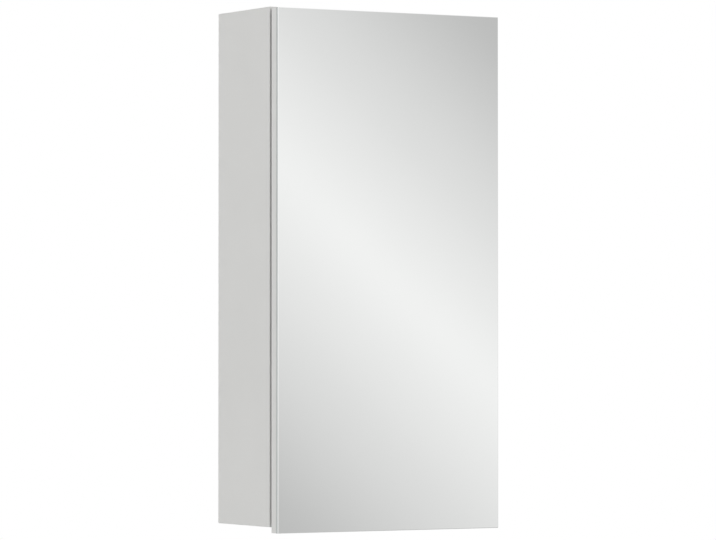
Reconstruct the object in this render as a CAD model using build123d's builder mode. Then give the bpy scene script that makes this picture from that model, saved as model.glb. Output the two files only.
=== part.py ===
from build123d import *
import os

# Wall cabinet with one mirrored door on two concealed cup hinges and two glass shelves.
# Millimetres. The origin is the middle of the rear face, on the wall: +Y points into the wall,
# the front faces -Y, +X is to the right seen from the front and +Z is up.

# Carcass
carcass_width = 320.0
carcass_height = 645.0
carcass_depth = 135.0
panel_thickness = 16.0
edge_band_thickness = 0.8
band_butt_gap = 0.1
back_panel_thickness = 3.0
back_rebate_width = 8.0
back_panel_play = 0.3

# Fit of a fastener in its pilot hole, on the radius, and the spare depth under its tip
pilot_fit = 0.05
blind_hole_spare = 0.5

# Cam fittings and dowels in the four corner joints
cam_radius = 7.5
cam_inset = 24.0
cam_bore_depth = 12.5
cam_cover_thickness = 1.0
cam_cover_play = 0.1
cam_slot_length = 9.0
cam_slot_width = 1.4
cam_slot_depth = 1.8
bolt_thread_radius = 2.45
bolt_thread_length = 11.0
bolt_shaft_radius = 3.0
bolt_neck_radius = 1.9
bolt_neck_length = 4.0
bolt_head_radius = 3.4
bolt_head_length = 2.5
bolt_bore_radius = 4.0
dowel_radius = 4.0
dowel_length = 30.0
dowel_in_side = 10.0
dowel_offset = 32.0

# Screws of the back panel
back_screw_radius = 1.5
back_screw_head_radius = 2.9
back_screw_length = 14.0
back_screw_side_count = 4
back_screw_corner_inset = 21.5
back_screw_end_inset = 84.0

# Hanging brackets in the upper rear corners
bracket_leg = 32.0
bracket_height = 40.0
bracket_thickness = 1.5
bracket_corner_radius = 5.0
bracket_top_gap = 3.0
bracket_screw_pitch = 24.0
bracket_screw_inset = 18.0
hanging_hole_radius = 3.25
hanging_hole_inset = 18.0
back_panel_hole_radius = 7.0
bracket_screw_radius = 2.0
bracket_screw_length = 14.0
bracket_screw_head_radius = 3.4
bracket_screw_head_height = 1.8

# Glass shelves on pins in drilled rows, from the bottom up
shelf_names = ["lower_shelf", "upper_shelf"]
shelf_thickness = 5.0
shelf_depth = 110.0
shelf_side_play = 1.5
shelf_back_gap = 2.0
shelf_edge_chamfer = 0.4
system_pitch = 32.0
system_front_inset = 37.0
system_rear_inset = 31.0
shelf_hole_reach = 1
shelf_pin_radius = 2.45
shelf_pin_in_panel = 8.0
shelf_pin_collar_radius = 3.6
shelf_pin_collar_thickness = 1.0
shelf_pin_tongue_radius = 3.0
shelf_pin_tongue_length = 8.0
shelf_pin_flat_height = 1.5

# Door
door_gap = 4.7
door_top_drop = 2.0
door_bottom_overhang = 7.0
door_board_thickness = 12.0
mirror_tape_thickness = 0.7
mirror_tape_width = 19.0
mirror_tape_inset = 4.0
mirror_tape_count = 4
mirror_thickness = 4.0
mirror_arris = 0.6
buffer_radius = 4.5
buffer_play = 0.3
buffer_crown = 1.6

# Hinge places
upper_hinge_below_door_top = 100.0
lower_hinge_above_door_bottom = 100.0

# Hinge cup, in the door: it is bored close to the edge of the board and holds the pivot pin
cup_bore_radius = 17.5
cup_edge_distance = 3.5
cup_bore_depth = 10.5
cup_fit = 0.05
cup_wall = 0.7
cup_bottom_chamfer = 1.2
cup_rim_width = 1.1
cup_flange_thickness = 1.2
cup_flange_length = 62.0
cup_flange_width = 14.0
cup_screw_pitch = 48.0
cup_screw_offset = 6.0
cup_screw_radius = 1.6
cup_screw_length = 10.5

# Pivot: distances from the outer side of the carcass and from its front edge
pivot_inset = 7.8
pivot_forward = 11.4
pivot_pin_radius = 1.0
pivot_pin_clearance = 0.04
pivot_pin_end_gap = 0.4

# Leaf spring on the cup floor
cup_spring_thickness = 0.5
cup_spring_width = 8.0
cup_spring_foot = 2.0
cup_spring_start = 12.5
cup_spring_end = 32.5
cup_spring_gap = 0.3

# Hinge arm: an eye on the pin, a swan neck and a channel that sits over the mounting plate
arm_sheet = 1.8
arm_eye_wall = 1.4
neck_width = 9.0
neck_bend_radius = 4.5
neck_merge = 12.0
arm_channel_clearance = 0.3
arm_side_wall = 1.8
arm_front = 8.0
arm_rear = 60.0
arm_shoulder = 6.0
arm_corner_radius = 2.0
arm_top_gap = 0.5
arm_foot_gap = 0.4

# Mounting plate on the side panel
plate_base_thickness = 2.2
plate_base_width = 18.0
plate_front = 15.0
plate_rear = 57.0
plate_wing_width = 13.0
plate_wing_margin = 6.5
plate_ridge_width = 9.4
plate_ridge_height = 6.6
plate_ridge_inset = 2.0
plate_corner_radius = 3.0
plate_screw_radius = 2.45
plate_screw_head_radius = 4.2
plate_screw_in_panel = 11.0

# Screws of the arm
fixing_screw_inset = 50.0
fixing_screw_radius = 2.0
fixing_screw_head_radius = 3.6
fixing_screw_head_height = 2.2
fixing_slot_length = 9.0
adjusting_screw_inset = 24.0
adjusting_screw_radius = 2.8
adjusting_screw_proud = 0.8
screw_slot_width = 0.8
screw_slot_depth = 0.7

# Places that follow from the sizes
inner_half_width = carcass_width / 2 - panel_thickness
inner_half_height = carcass_height / 2 - panel_thickness
panel_depth = carcass_depth - edge_band_thickness
panel_mid_height = inner_half_height + panel_thickness / 2
back_pocket_width = 2 * (inner_half_width + back_rebate_width)
back_pocket_height = 2 * (inner_half_height + back_rebate_width)
joint_y = -carcass_depth / 2
back_screw_x = inner_half_width + back_rebate_width / 2
back_screw_z = inner_half_height + back_rebate_width / 2
back_screw_top = inner_half_height - back_screw_corner_inset
back_screw_pitch = 2 * back_screw_top / (back_screw_side_count - 1)
back_screw_points = [
    (side * back_screw_x, back_screw_top - step * back_screw_pitch)
    for side in (-1, 1)
    for step in range(back_screw_side_count)
] + [
    (side * (inner_half_width - back_screw_end_inset), end * back_screw_z)
    for side in (-1, 1)
    for end in (-1, 1)
]

bracket_top = inner_half_height - bracket_top_gap
bracket_mid = bracket_top - bracket_height / 2
bracket_screw_y = -back_panel_thickness - bracket_screw_inset
hanging_hole_x = inner_half_width - hanging_hole_inset

shelf_count = len(shelf_names)
compartment_height = (2 * inner_half_height - shelf_count * shelf_thickness) / (shelf_count + 1)
shelf_undersides = [
    -inner_half_height + compartment_height + index * (compartment_height + shelf_thickness)
    for index in range(shelf_count)
]
system_columns = [-carcass_depth + system_front_inset, -system_rear_inset]
shelf_hole_points = [
    (column, underside - shelf_pin_flat_height + step * system_pitch)
    for column in system_columns
    for underside in shelf_undersides
    for step in range(-shelf_hole_reach, shelf_hole_reach + 1)
]

door_width = carcass_width
door_top = carcass_height / 2 - door_top_drop
door_bottom = -carcass_height / 2 - door_bottom_overhang
door_height = door_top - door_bottom
door_mid = (door_top + door_bottom) / 2
door_rear_y = -carcass_depth - door_gap
door_tape_y = door_rear_y - door_board_thickness
door_mirror_y = door_tape_y - mirror_tape_thickness

hinge_heights = {
    "upper": door_top - upper_hinge_below_door_top,
    "lower": door_bottom + lower_hinge_above_door_bottom,
}
cup_centre_inset = cup_edge_distance + cup_bore_radius
cup_centre_x = carcass_width / 2 - cup_centre_inset
cup_radius = cup_bore_radius - cup_fit
cup_depth = cup_bore_depth - cup_fit
cup_floor_forward = door_gap + cup_depth - cup_wall
cup_screw_x = cup_centre_x - cup_screw_offset
eye_bore_radius = pivot_pin_radius + pivot_pin_clearance
eye_radius = eye_bore_radius + arm_eye_wall

ridge_top = panel_thickness + plate_ridge_height
arm_under = ridge_top + arm_top_gap
arm_top = arm_under + arm_sheet
arm_foot = panel_thickness + plate_base_thickness + arm_foot_gap
arm_channel_width = plate_ridge_width + 2 * arm_channel_clearance
arm_width = arm_channel_width + 2 * arm_side_wall
arm_length = arm_rear - arm_front


# Planes
def front_view(y):
    """Upright plane at a depth: x and z as seen from the front, facing forward."""
    return Plane(origin=(0, y, 0), x_dir=(1, 0, 0), z_dir=(0, -1, 0))


def hinge_plan(height):
    """Level plane at a hinge: x inward from the carcass side, y forward of its front edge."""
    corner = (carcass_width / 2, -carcass_depth, height)
    return Plane(origin=corner, x_dir=(-1, 0, 0), z_dir=(0, 0, 1))


def hinge_side(height, inset):
    """Upright plane along the side panel at a hinge: x forward, y up, facing the inside."""
    corner = (carcass_width / 2 - inset, -carcass_depth, height)
    return Plane(origin=corner, x_dir=(0, -1, 0), z_dir=(-1, 0, 0))


left_inner_face = Plane(origin=(-inner_half_width, 0, 0), x_dir=(0, 1, 0), z_dir=(1, 0, 0))


# Screws, each with its head on the XY plane and its tip down the Z axis
def countersunk_screw(radius, head_radius, length):
    """Turned wood screw whose 45 degree head is flush with the XY plane."""
    head_depth = head_radius - radius
    with BuildPart() as screw:
        with BuildSketch(Plane.XZ):
            with BuildLine():
                Polyline(
                    (0, 0),
                    (head_radius, 0),
                    (radius, -head_depth),
                    (radius, radius - length),
                    (0, -length),
                    close=True,
                )
            make_face()
        revolve(axis=Axis.Z)
    return screw.part


def pan_head_screw(radius, length, head_radius, head_height):
    """Turned screw with a bevelled pan head that stands on the XY plane."""
    crown_radius = 0.7 * head_radius
    crown_start = 0.6 * head_height
    with BuildPart() as screw:
        with BuildSketch(Plane.XZ):
            with BuildLine():
                Polyline(
                    (0, head_height),
                    (crown_radius, head_height),
                    (head_radius, crown_start),
                    (head_radius, 0),
                    (radius, 0),
                    (radius, -length),
                    (0, -length),
                    close=True,
                )
            make_face()
        revolve(axis=Axis.Z)
    return screw.part


# Side panels: the front and both ends carry an edge band, the rear inner edge a rebate
with BuildPart() as left_side_panel:
    with BuildSketch(front_view(0)):
        with Locations((-carcass_width / 2 + panel_thickness / 2, 0)):
            Rectangle(panel_thickness, carcass_height - 2 * edge_band_thickness)
    extrude(amount=panel_depth)
    with BuildSketch(front_view(0)):
        Rectangle(back_pocket_width, back_pocket_height)
    extrude(amount=back_panel_thickness, mode=Mode.SUBTRACT)
    with BuildSketch(left_inner_face):
        with Locations(*shelf_hole_points):
            Circle(shelf_pin_radius + pilot_fit)
    extrude(amount=-shelf_pin_in_panel - blind_hole_spare, mode=Mode.SUBTRACT)
    with BuildSketch(left_inner_face):
        with GridLocations(0, 2 * panel_mid_height, 1, 2):
            with Locations((joint_y, 0)):
                Circle(bolt_thread_radius + pilot_fit)
    extrude(amount=-bolt_thread_length - blind_hole_spare, mode=Mode.SUBTRACT)
    with BuildSketch(left_inner_face):
        with Locations((joint_y, 0)):
            with GridLocations(2 * dowel_offset, 2 * panel_mid_height, 2, 2):
                Circle(dowel_radius + pilot_fit)
    extrude(amount=-dowel_in_side - blind_hole_spare, mode=Mode.SUBTRACT)
    with BuildSketch(left_inner_face):
        with Locations((bracket_screw_y, bracket_mid)):
            with GridLocations(0, bracket_screw_pitch, 1, 2):
                Circle(bracket_screw_radius + pilot_fit)
    extrude(amount=bracket_thickness - bracket_screw_length - blind_hole_spare, mode=Mode.SUBTRACT)
    with BuildSketch(front_view(-back_panel_thickness)):
        with Locations(*back_screw_points):
            Circle(back_screw_radius + pilot_fit)
    extrude(amount=back_screw_length - back_panel_thickness + blind_hole_spare, mode=Mode.SUBTRACT)

with BuildPart() as right_side_panel:
    mirror(left_side_panel.part, about=Plane.YZ)
    for height in hinge_heights.values():
        with BuildSketch(hinge_side(height, panel_thickness)):
            with Locations((-system_front_inset, 0)):
                with GridLocations(0, system_pitch, 1, 2):
                    Circle(plate_screw_radius + pilot_fit)
        extrude(amount=-plate_screw_in_panel - blind_hole_spare, mode=Mode.SUBTRACT)

# Top panel between the sides, with the cam bores in its upper face; the bottom mirrors it
with BuildPart() as top_panel:
    with BuildSketch(front_view(0)):
        with Locations((0, panel_mid_height)):
            Rectangle(2 * inner_half_width, panel_thickness)
    extrude(amount=panel_depth)
    with BuildSketch(front_view(0)):
        Rectangle(back_pocket_width, back_pocket_height)
    extrude(amount=back_panel_thickness, mode=Mode.SUBTRACT)
    with BuildSketch(Plane.XY.offset(carcass_height / 2)):
        with Locations((0, joint_y)):
            with GridLocations(2 * (inner_half_width - cam_inset), 0, 2, 1):
                Circle(cam_radius)
    extrude(amount=-cam_bore_depth, mode=Mode.SUBTRACT)
    for start in (0, 2 * inner_half_width - cam_inset):
        with BuildSketch(left_inner_face.offset(start)):
            with Locations((joint_y, panel_mid_height)):
                Circle(bolt_bore_radius)
        extrude(amount=cam_inset, mode=Mode.SUBTRACT)
    dowel_bore = dowel_length - dowel_in_side + blind_hole_spare
    for start in (0, 2 * inner_half_width - dowel_bore):
        with BuildSketch(left_inner_face.offset(start)):
            with Locations((joint_y, panel_mid_height)):
                with GridLocations(2 * dowel_offset, 0, 2, 1):
                    Circle(dowel_radius + pilot_fit)
        extrude(amount=dowel_bore, mode=Mode.SUBTRACT)
    with BuildSketch(front_view(-back_panel_thickness)):
        with Locations(*back_screw_points):
            Circle(back_screw_radius + pilot_fit)
    extrude(amount=back_screw_length - back_panel_thickness + blind_hole_spare, mode=Mode.SUBTRACT)

with BuildPart() as bottom_panel:
    mirror(top_panel.part, about=Plane.XY)

# Back panel in the rebate, screwed from behind and open round the hanging holes
with BuildPart() as back_panel:
    with BuildSketch(front_view(0)):
        Rectangle(back_pocket_width - 2 * back_panel_play, back_pocket_height - 2 * back_panel_play)
        with Locations((0, bracket_mid)):
            with GridLocations(2 * hanging_hole_x, 0, 2, 1):
                Circle(back_panel_hole_radius, mode=Mode.SUBTRACT)
    extrude(amount=back_panel_thickness)
    rear_face = Plane(origin=(0, 0, 0), x_dir=(-1, 0, 0), z_dir=(0, 1, 0))
    with Locations(rear_face):
        with Locations(*back_screw_points):
            CounterSinkHole(
                back_screw_radius + pilot_fit,
                back_screw_head_radius + pilot_fit,
                depth=back_panel_thickness,
                counter_sink_angle=90,
            )

with BuildPart() as back_panel_screws:
    with Locations(rear_face):
        with Locations(*back_screw_points):
            add(countersunk_screw(back_screw_radius, back_screw_head_radius, back_screw_length))

# Edge bands: long ones on the fronts of the sides, short ones between them and on the side ends
side_band_x = carcass_width / 2 - panel_thickness / 2
with BuildPart() as carcass_edge_bands:
    with BuildSketch(front_view(-panel_depth)):
        with GridLocations(2 * side_band_x, 0, 2, 1):
            Rectangle(panel_thickness, carcass_height)
        with GridLocations(0, 2 * panel_mid_height, 1, 2):
            Rectangle(2 * (inner_half_width - band_butt_gap), panel_thickness)
    extrude(amount=edge_band_thickness)
    with BuildSketch(front_view(0)):
        with GridLocations(2 * side_band_x, carcass_height - edge_band_thickness, 2, 2):
            Rectangle(panel_thickness, edge_band_thickness)
    extrude(amount=panel_depth - band_butt_gap)

# Corner fittings, each modelled at the upper left joint and mirrored to the other three
cam_x = cam_inset - inner_half_width
cam_bore_floor = carcass_height / 2 - cam_bore_depth
cam_height = cam_bore_depth - cam_cover_thickness - 2 * cam_cover_play
with BuildPart() as cam_locks:
    with BuildSketch(Plane.XY.offset(cam_bore_floor + cam_cover_play)):
        with Locations((cam_x, joint_y)):
            Circle(cam_radius - pilot_fit)
    extrude(amount=cam_height)
    with BuildSketch(left_inner_face):
        with Locations((joint_y, panel_mid_height)):
            Circle(bolt_head_radius + cam_cover_play)
    extrude(amount=cam_inset + bolt_head_length, mode=Mode.SUBTRACT)
    with BuildSketch(Plane.XY.offset(cam_bore_floor + cam_cover_play + cam_height)):
        with Locations((cam_x, joint_y)):
            Rectangle(cam_slot_length, cam_slot_width)
            Rectangle(cam_slot_width, cam_slot_length)
    extrude(amount=-cam_slot_depth, mode=Mode.SUBTRACT)
    mirror(about=Plane.YZ)
    mirror(about=Plane.XY)

bolt_plane = Plane(origin=(-inner_half_width, joint_y, panel_mid_height))
head_start = cam_inset - bolt_head_length / 2
neck_start = head_start - bolt_neck_length
with BuildPart() as cam_bolts:
    with BuildSketch(bolt_plane):
        with BuildLine():
            Polyline(
                (-bolt_thread_length, 0),
                (-bolt_thread_length, bolt_thread_radius),
                (0, bolt_thread_radius),
                (0, bolt_shaft_radius),
                (neck_start, bolt_shaft_radius),
                (neck_start, bolt_neck_radius),
                (head_start, bolt_neck_radius),
                (head_start, bolt_head_radius),
                (head_start + bolt_head_length, bolt_head_radius),
                (head_start + bolt_head_length, 0),
                close=True,
            )
        make_face()
    revolve(axis=Axis(bolt_plane.origin, (1, 0, 0)))
    mirror(about=Plane.YZ)
    mirror(about=Plane.XY)

with BuildPart() as cam_covers:
    with BuildSketch(Plane.XY.offset(carcass_height / 2 - cam_cover_thickness)):
        with Locations((cam_x, joint_y)):
            Circle(cam_radius - cam_cover_play)
    extrude(amount=cam_cover_thickness)
    chamfer(cam_covers.edges().sort_by(Axis.Z)[-1], length=cam_cover_thickness / 3)
    mirror(about=Plane.YZ)
    mirror(about=Plane.XY)

with BuildPart() as dowels:
    with BuildSketch(left_inner_face.offset(-dowel_in_side)):
        with Locations((joint_y, panel_mid_height)):
            with GridLocations(2 * dowel_offset, 0, 2, 1):
                Circle(dowel_radius)
    extrude(amount=dowel_length)
    mirror(about=Plane.YZ)
    mirror(about=Plane.XY)

# Hanging brackets: folded steel angles behind the top panel, open for the wall screws
with BuildPart() as left_hanging_bracket:
    bend_x = -inner_half_width
    bend_y = -back_panel_thickness
    with BuildSketch(Plane.XY.offset(bracket_top - bracket_height)):
        with Locations((bend_x, bend_y)):
            Rectangle(bracket_leg, bracket_leg, align=(Align.MIN, Align.MAX))
        with Locations((bend_x + bracket_thickness, bend_y - bracket_thickness)):
            Rectangle(
                bracket_leg, bracket_leg, align=(Align.MIN, Align.MAX), mode=Mode.SUBTRACT
            )
    extrude(amount=bracket_height)
    free_end_edges = left_hanging_bracket.edges().filter_by(GeomType.LINE)
    back_leg_corners = free_end_edges.filter_by(Axis.Y).group_by(Axis.X)[-1]
    side_leg_corners = free_end_edges.filter_by(Axis.X).group_by(Axis.Y)[0]
    fillet(back_leg_corners + side_leg_corners, radius=bracket_corner_radius)
    with BuildSketch(front_view(bend_y)):
        with Locations((-hanging_hole_x, bracket_mid)):
            Circle(hanging_hole_radius)
    extrude(amount=bracket_thickness, mode=Mode.SUBTRACT)
    with BuildSketch(left_inner_face):
        with Locations((bracket_screw_y, bracket_mid)):
            with GridLocations(0, bracket_screw_pitch, 1, 2):
                Circle(bracket_screw_radius + pilot_fit)
    extrude(amount=bracket_thickness, mode=Mode.SUBTRACT)

with BuildPart() as right_hanging_bracket:
    mirror(left_hanging_bracket.part, about=Plane.YZ)

bracket_screw = pan_head_screw(
    bracket_screw_radius,
    bracket_screw_length,
    bracket_screw_head_radius,
    bracket_screw_head_height,
)
with BuildPart() as hanging_bracket_screws:
    with Locations(left_inner_face.offset(bracket_thickness)):
        with Locations((bracket_screw_y, bracket_mid)):
            with GridLocations(0, bracket_screw_pitch, 1, 2):
                add(bracket_screw)
    mirror(about=Plane.YZ)


# Shelves and their pins
def glass_shelf(underside):
    """Glass shelf with ground edges, clear of the sides and of the back panel."""
    with BuildPart() as shelf:
        with BuildSketch(Plane.XY.offset(underside)):
            with Locations((0, -back_panel_thickness - shelf_back_gap - shelf_depth / 2)):
                Rectangle(2 * (inner_half_width - shelf_side_play), shelf_depth)
        extrude(amount=shelf_thickness)
        chamfer(shelf.edges(), length=shelf_edge_chamfer)
    return shelf


def shelf_pins(underside):
    """Four turned pins with a collar and a tongue, cut flat where the shelf lies on them."""
    tongue_start = shelf_pin_collar_thickness
    tongue_end = shelf_pin_collar_thickness + shelf_pin_tongue_length
    axis_height = underside - shelf_pin_flat_height
    with BuildPart() as pins:
        for column in system_columns:
            pin_plane = Plane(origin=(-inner_half_width, column, axis_height))
            with BuildSketch(pin_plane):
                with BuildLine():
                    Polyline(
                        (-shelf_pin_in_panel, 0),
                        (-shelf_pin_in_panel, shelf_pin_radius),
                        (0, shelf_pin_radius),
                        (0, shelf_pin_collar_radius),
                        (tongue_start, shelf_pin_collar_radius),
                        (tongue_start, shelf_pin_tongue_radius),
                        (tongue_end, shelf_pin_tongue_radius),
                        (tongue_end, 0),
                        close=True,
                    )
                make_face()
            revolve(axis=Axis(pin_plane.origin, (1, 0, 0)))
        with BuildSketch(Plane.XY.offset(underside)):
            with Locations((tongue_start - inner_half_width, 0)):
                Rectangle(shelf_pin_tongue_length, carcass_depth, align=(Align.MIN, Align.MAX))
        extrude(amount=shelf_pin_collar_radius, mode=Mode.SUBTRACT)
        mirror(about=Plane.YZ)
    return pins


# Hinge parts
def mounting_plate(height):
    """Cross-shaped plate: two wings with countersunk holes and a ridge that carries the arm."""
    mid = -(plate_front + plate_rear) / 2
    length = plate_rear - plate_front
    with BuildPart() as plate:
        with BuildSketch(hinge_side(height, panel_thickness)):
            with Locations((mid, 0)):
                RectangleRounded(length, plate_base_width, plate_corner_radius)
            with Locations((-system_front_inset, 0)):
                SlotOverall(
                    system_pitch + 2 * plate_wing_margin, plate_wing_width, rotation=90
                )
        extrude(amount=plate_base_thickness)
        with BuildSketch(hinge_side(height, panel_thickness)):
            with Locations((mid, 0)):
                RectangleRounded(
                    length - 2 * plate_ridge_inset, plate_ridge_width, plate_corner_radius
                )
        extrude(amount=plate_ridge_height)
        with Locations(hinge_side(height, panel_thickness + plate_base_thickness)):
            with Locations((-system_front_inset, 0)):
                with GridLocations(0, system_pitch, 1, 2):
                    CounterSinkHole(
                        plate_screw_radius + pilot_fit,
                        plate_screw_head_radius + pilot_fit,
                        depth=plate_base_thickness,
                        counter_sink_angle=90,
                    )
        with Locations(hinge_side(height, ridge_top)):
            with Locations((-fixing_screw_inset, 0)):
                Hole(fixing_screw_radius + pilot_fit, depth=plate_ridge_height)
    return plate


def hinge_arm(height):
    """Eye round the pivot pin, swan neck out of the cup and channel over the mounting plate."""
    neck_line = arm_top - arm_sheet / 2
    with BuildPart() as arm:
        with BuildSketch(hinge_plan(height)):
            with BuildLine():
                FilletPolyline(
                    (pivot_inset, pivot_forward),
                    (neck_line, pivot_forward),
                    (neck_line, -neck_merge),
                    radius=neck_bend_radius,
                )
            trace(line_width=arm_sheet)
            with Locations((pivot_inset, pivot_forward)):
                Circle(eye_radius)
        extrude(amount=neck_width / 2, both=True)
        with BuildSketch(hinge_side(height, arm_foot)):
            with BuildLine():
                Polyline(
                    (-arm_front, -neck_width / 2),
                    (-arm_front - arm_shoulder, -arm_width / 2),
                    (-arm_rear, -arm_width / 2),
                    (-arm_rear, arm_width / 2),
                    (-arm_front - arm_shoulder, arm_width / 2),
                    (-arm_front, neck_width / 2),
                    close=True,
                )
            make_face()
        extrude(amount=arm_top - arm_foot)
        rear_corners = arm.edges().filter_by(Axis.X).group_by(Axis.Y)[-1]
        fillet(rear_corners, radius=arm_corner_radius)
        with BuildSketch(hinge_side(height, arm_foot)):
            with Locations((-arm_front - arm_sheet, 0)):
                Rectangle(arm_length, arm_channel_width, align=(Align.MAX, Align.CENTER))
        extrude(amount=arm_under - arm_foot, mode=Mode.SUBTRACT)
        with BuildSketch(hinge_side(height, arm_under)):
            with Locations((-fixing_screw_inset, 0)):
                SlotOverall(fixing_slot_length, 2 * (fixing_screw_radius + pilot_fit))
            with Locations((-adjusting_screw_inset, 0)):
                Circle(adjusting_screw_radius + pilot_fit)
        extrude(amount=arm_sheet, mode=Mode.SUBTRACT)
        with BuildSketch(hinge_plan(height)):
            with Locations((pivot_inset, pivot_forward)):
                Circle(eye_bore_radius)
        extrude(amount=neck_width, both=True, mode=Mode.SUBTRACT)
    return arm


def hinge_cup(height):
    """Drawn cup with a bevelled bottom, a rim, a winged flange and holes for the pivot pin."""
    with BuildPart() as cup:
        with BuildSketch(front_view(door_rear_y)):
            with Locations((cup_centre_x, height)):
                Circle(cup_radius)
        extrude(amount=cup_depth)
        chamfer(cup.edges().group_by(Axis.Y)[0], length=cup_bottom_chamfer)
        mouth = cup.faces().sort_by(Axis.Y)[-1]
        offset(amount=-cup_wall, openings=mouth)
        with BuildSketch(front_view(door_rear_y + cup_flange_thickness)):
            with Locations((cup_centre_x, height)):
                Circle(cup_radius + cup_rim_width)
            with Locations((cup_screw_x, height)):
                SlotOverall(cup_flange_length, cup_flange_width, rotation=90)
            with Locations((cup_centre_x, height)):
                Circle(cup_radius - cup_wall, mode=Mode.SUBTRACT)
        extrude(amount=cup_flange_thickness)
        flange_back = Plane(
            origin=(cup_screw_x, door_rear_y + cup_flange_thickness, height),
            x_dir=(-1, 0, 0),
            z_dir=(0, 1, 0),
        )
        with Locations(flange_back):
            with GridLocations(0, cup_screw_pitch, 1, 2):
                CounterSinkHole(
                    cup_screw_radius + pilot_fit,
                    cup_screw_radius + cup_flange_thickness + pilot_fit,
                    depth=cup_flange_thickness,
                    counter_sink_angle=90,
                )
        with BuildSketch(hinge_plan(height)):
            with Locations((pivot_inset, pivot_forward)):
                Circle(pivot_pin_radius + pivot_pin_clearance)
        extrude(amount=cup_radius, both=True, mode=Mode.SUBTRACT)
    return cup


def pivot_pin(height):
    """Pin across the cup, held in its wall and dressed off just inside the bore."""
    with BuildPart() as pin:
        with BuildSketch(hinge_plan(height)):
            with Locations((pivot_inset, pivot_forward)):
                Circle(pivot_pin_radius)
        extrude(amount=cup_radius, both=True)
        with BuildSketch(front_view(door_rear_y)):
            with Locations((cup_centre_x, height)):
                Circle(cup_radius - pivot_pin_end_gap)
        extrude(amount=cup_depth, mode=Mode.INTERSECT)
    return pin.part


hinges = {
    height_name: {
        "mounting_plate": mounting_plate(height),
        "hinge_arm": hinge_arm(height),
        "hinge_cup": hinge_cup(height),
    }
    for height_name, height in hinge_heights.items()
}

with BuildPart() as mounting_plate_screws:
    for height in hinge_heights.values():
        with Locations(hinge_side(height, panel_thickness + plate_base_thickness)):
            with Locations((-system_front_inset, 0)):
                with GridLocations(0, system_pitch, 1, 2):
                    add(
                        countersunk_screw(
                            plate_screw_radius,
                            plate_screw_head_radius,
                            plate_base_thickness + plate_screw_in_panel,
                        )
                    )

fixing_screw = pan_head_screw(
    fixing_screw_radius,
    arm_top - panel_thickness - blind_hole_spare,
    fixing_screw_head_radius,
    fixing_screw_head_height,
)
with BuildPart() as arm_fixing_screws:
    for height in hinge_heights.values():
        with Locations(hinge_side(height, arm_top)):
            with Locations((-fixing_screw_inset, 0)):
                add(fixing_screw)

with BuildPart() as arm_adjusting_screws:
    for height in hinge_heights.values():
        with BuildSketch(hinge_side(height, ridge_top + pilot_fit)):
            with Locations((-adjusting_screw_inset, 0)):
                Circle(adjusting_screw_radius)
        extrude(amount=arm_top + adjusting_screw_proud - ridge_top - pilot_fit)
        with BuildSketch(hinge_side(height, arm_top + adjusting_screw_proud)):
            with Locations((-adjusting_screw_inset, 0)):
                Rectangle(2 * adjusting_screw_radius, screw_slot_width)
        extrude(amount=-screw_slot_depth, mode=Mode.SUBTRACT)

with BuildPart() as hinge_pins:
    for height in hinge_heights.values():
        add(pivot_pin(height))

spring_middle = (cup_spring_start + cup_spring_end) / 2
spring_crest = pivot_forward + arm_sheet / 2 + cup_spring_gap
with BuildPart() as cup_springs:
    for height in hinge_heights.values():
        with BuildSketch(hinge_plan(height)):
            with BuildLine():
                ThreePointArc(
                    (cup_spring_start, cup_floor_forward),
                    (spring_middle, spring_crest),
                    (cup_spring_end, cup_floor_forward),
                )
                ThreePointArc(
                    (cup_spring_start + cup_spring_foot, cup_floor_forward),
                    (spring_middle, spring_crest + cup_spring_thickness),
                    (cup_spring_end - cup_spring_foot, cup_floor_forward),
                )
                Line(
                    (cup_spring_start, cup_floor_forward),
                    (cup_spring_start + cup_spring_foot, cup_floor_forward),
                )
                Line(
                    (cup_spring_end, cup_floor_forward),
                    (cup_spring_end - cup_spring_foot, cup_floor_forward),
                )
            make_face()
        extrude(amount=cup_spring_width / 2, both=True)

with BuildPart() as cup_screws:
    for height in hinge_heights.values():
        flange_back = Plane(
            origin=(cup_screw_x, door_rear_y + cup_flange_thickness, height),
            x_dir=(-1, 0, 0),
            z_dir=(0, 1, 0),
        )
        with Locations(flange_back):
            with GridLocations(0, cup_screw_pitch, 1, 2):
                add(
                    countersunk_screw(
                        cup_screw_radius,
                        cup_screw_radius + cup_flange_thickness,
                        cup_screw_length,
                    )
                )

# Door: banded board with the cup bores, strips of tape and the mirror over its whole front
board_width = door_width - 2 * edge_band_thickness
board_height = door_height - 2 * edge_band_thickness
with BuildPart() as door_board:
    with BuildSketch(front_view(door_rear_y)):
        with Locations((0, door_mid)):
            Rectangle(board_width, board_height)
    extrude(amount=door_board_thickness)
    for height in hinge_heights.values():
        with BuildSketch(front_view(door_rear_y)):
            with Locations((cup_centre_x, height)):
                Circle(cup_bore_radius)
        extrude(amount=cup_bore_depth, mode=Mode.SUBTRACT)
        with BuildSketch(front_view(door_rear_y)):
            with Locations((cup_screw_x, height)):
                with GridLocations(0, cup_screw_pitch, 1, 2):
                    Circle(cup_screw_radius + pilot_fit)
        screw_in_board = cup_screw_length - cup_flange_thickness
        extrude(amount=screw_in_board + blind_hole_spare, mode=Mode.SUBTRACT)

with BuildPart() as door_edge_bands:
    with BuildSketch(front_view(door_rear_y)):
        with Locations((0, door_mid)):
            with GridLocations(door_width - edge_band_thickness, 0, 2, 1):
                Rectangle(edge_band_thickness, door_height)
            with GridLocations(0, door_height - edge_band_thickness, 1, 2):
                Rectangle(board_width - 2 * band_butt_gap, edge_band_thickness)
    extrude(amount=door_board_thickness)

tape_span = door_width - 2 * mirror_tape_inset - mirror_tape_width
with BuildPart() as mirror_tapes:
    with BuildSketch(front_view(door_tape_y)):
        with Locations((0, door_mid)):
            with GridLocations(tape_span / (mirror_tape_count - 1), 0, mirror_tape_count, 1):
                Rectangle(mirror_tape_width, door_height - 2 * mirror_tape_inset)
    extrude(amount=mirror_tape_thickness)

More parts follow.
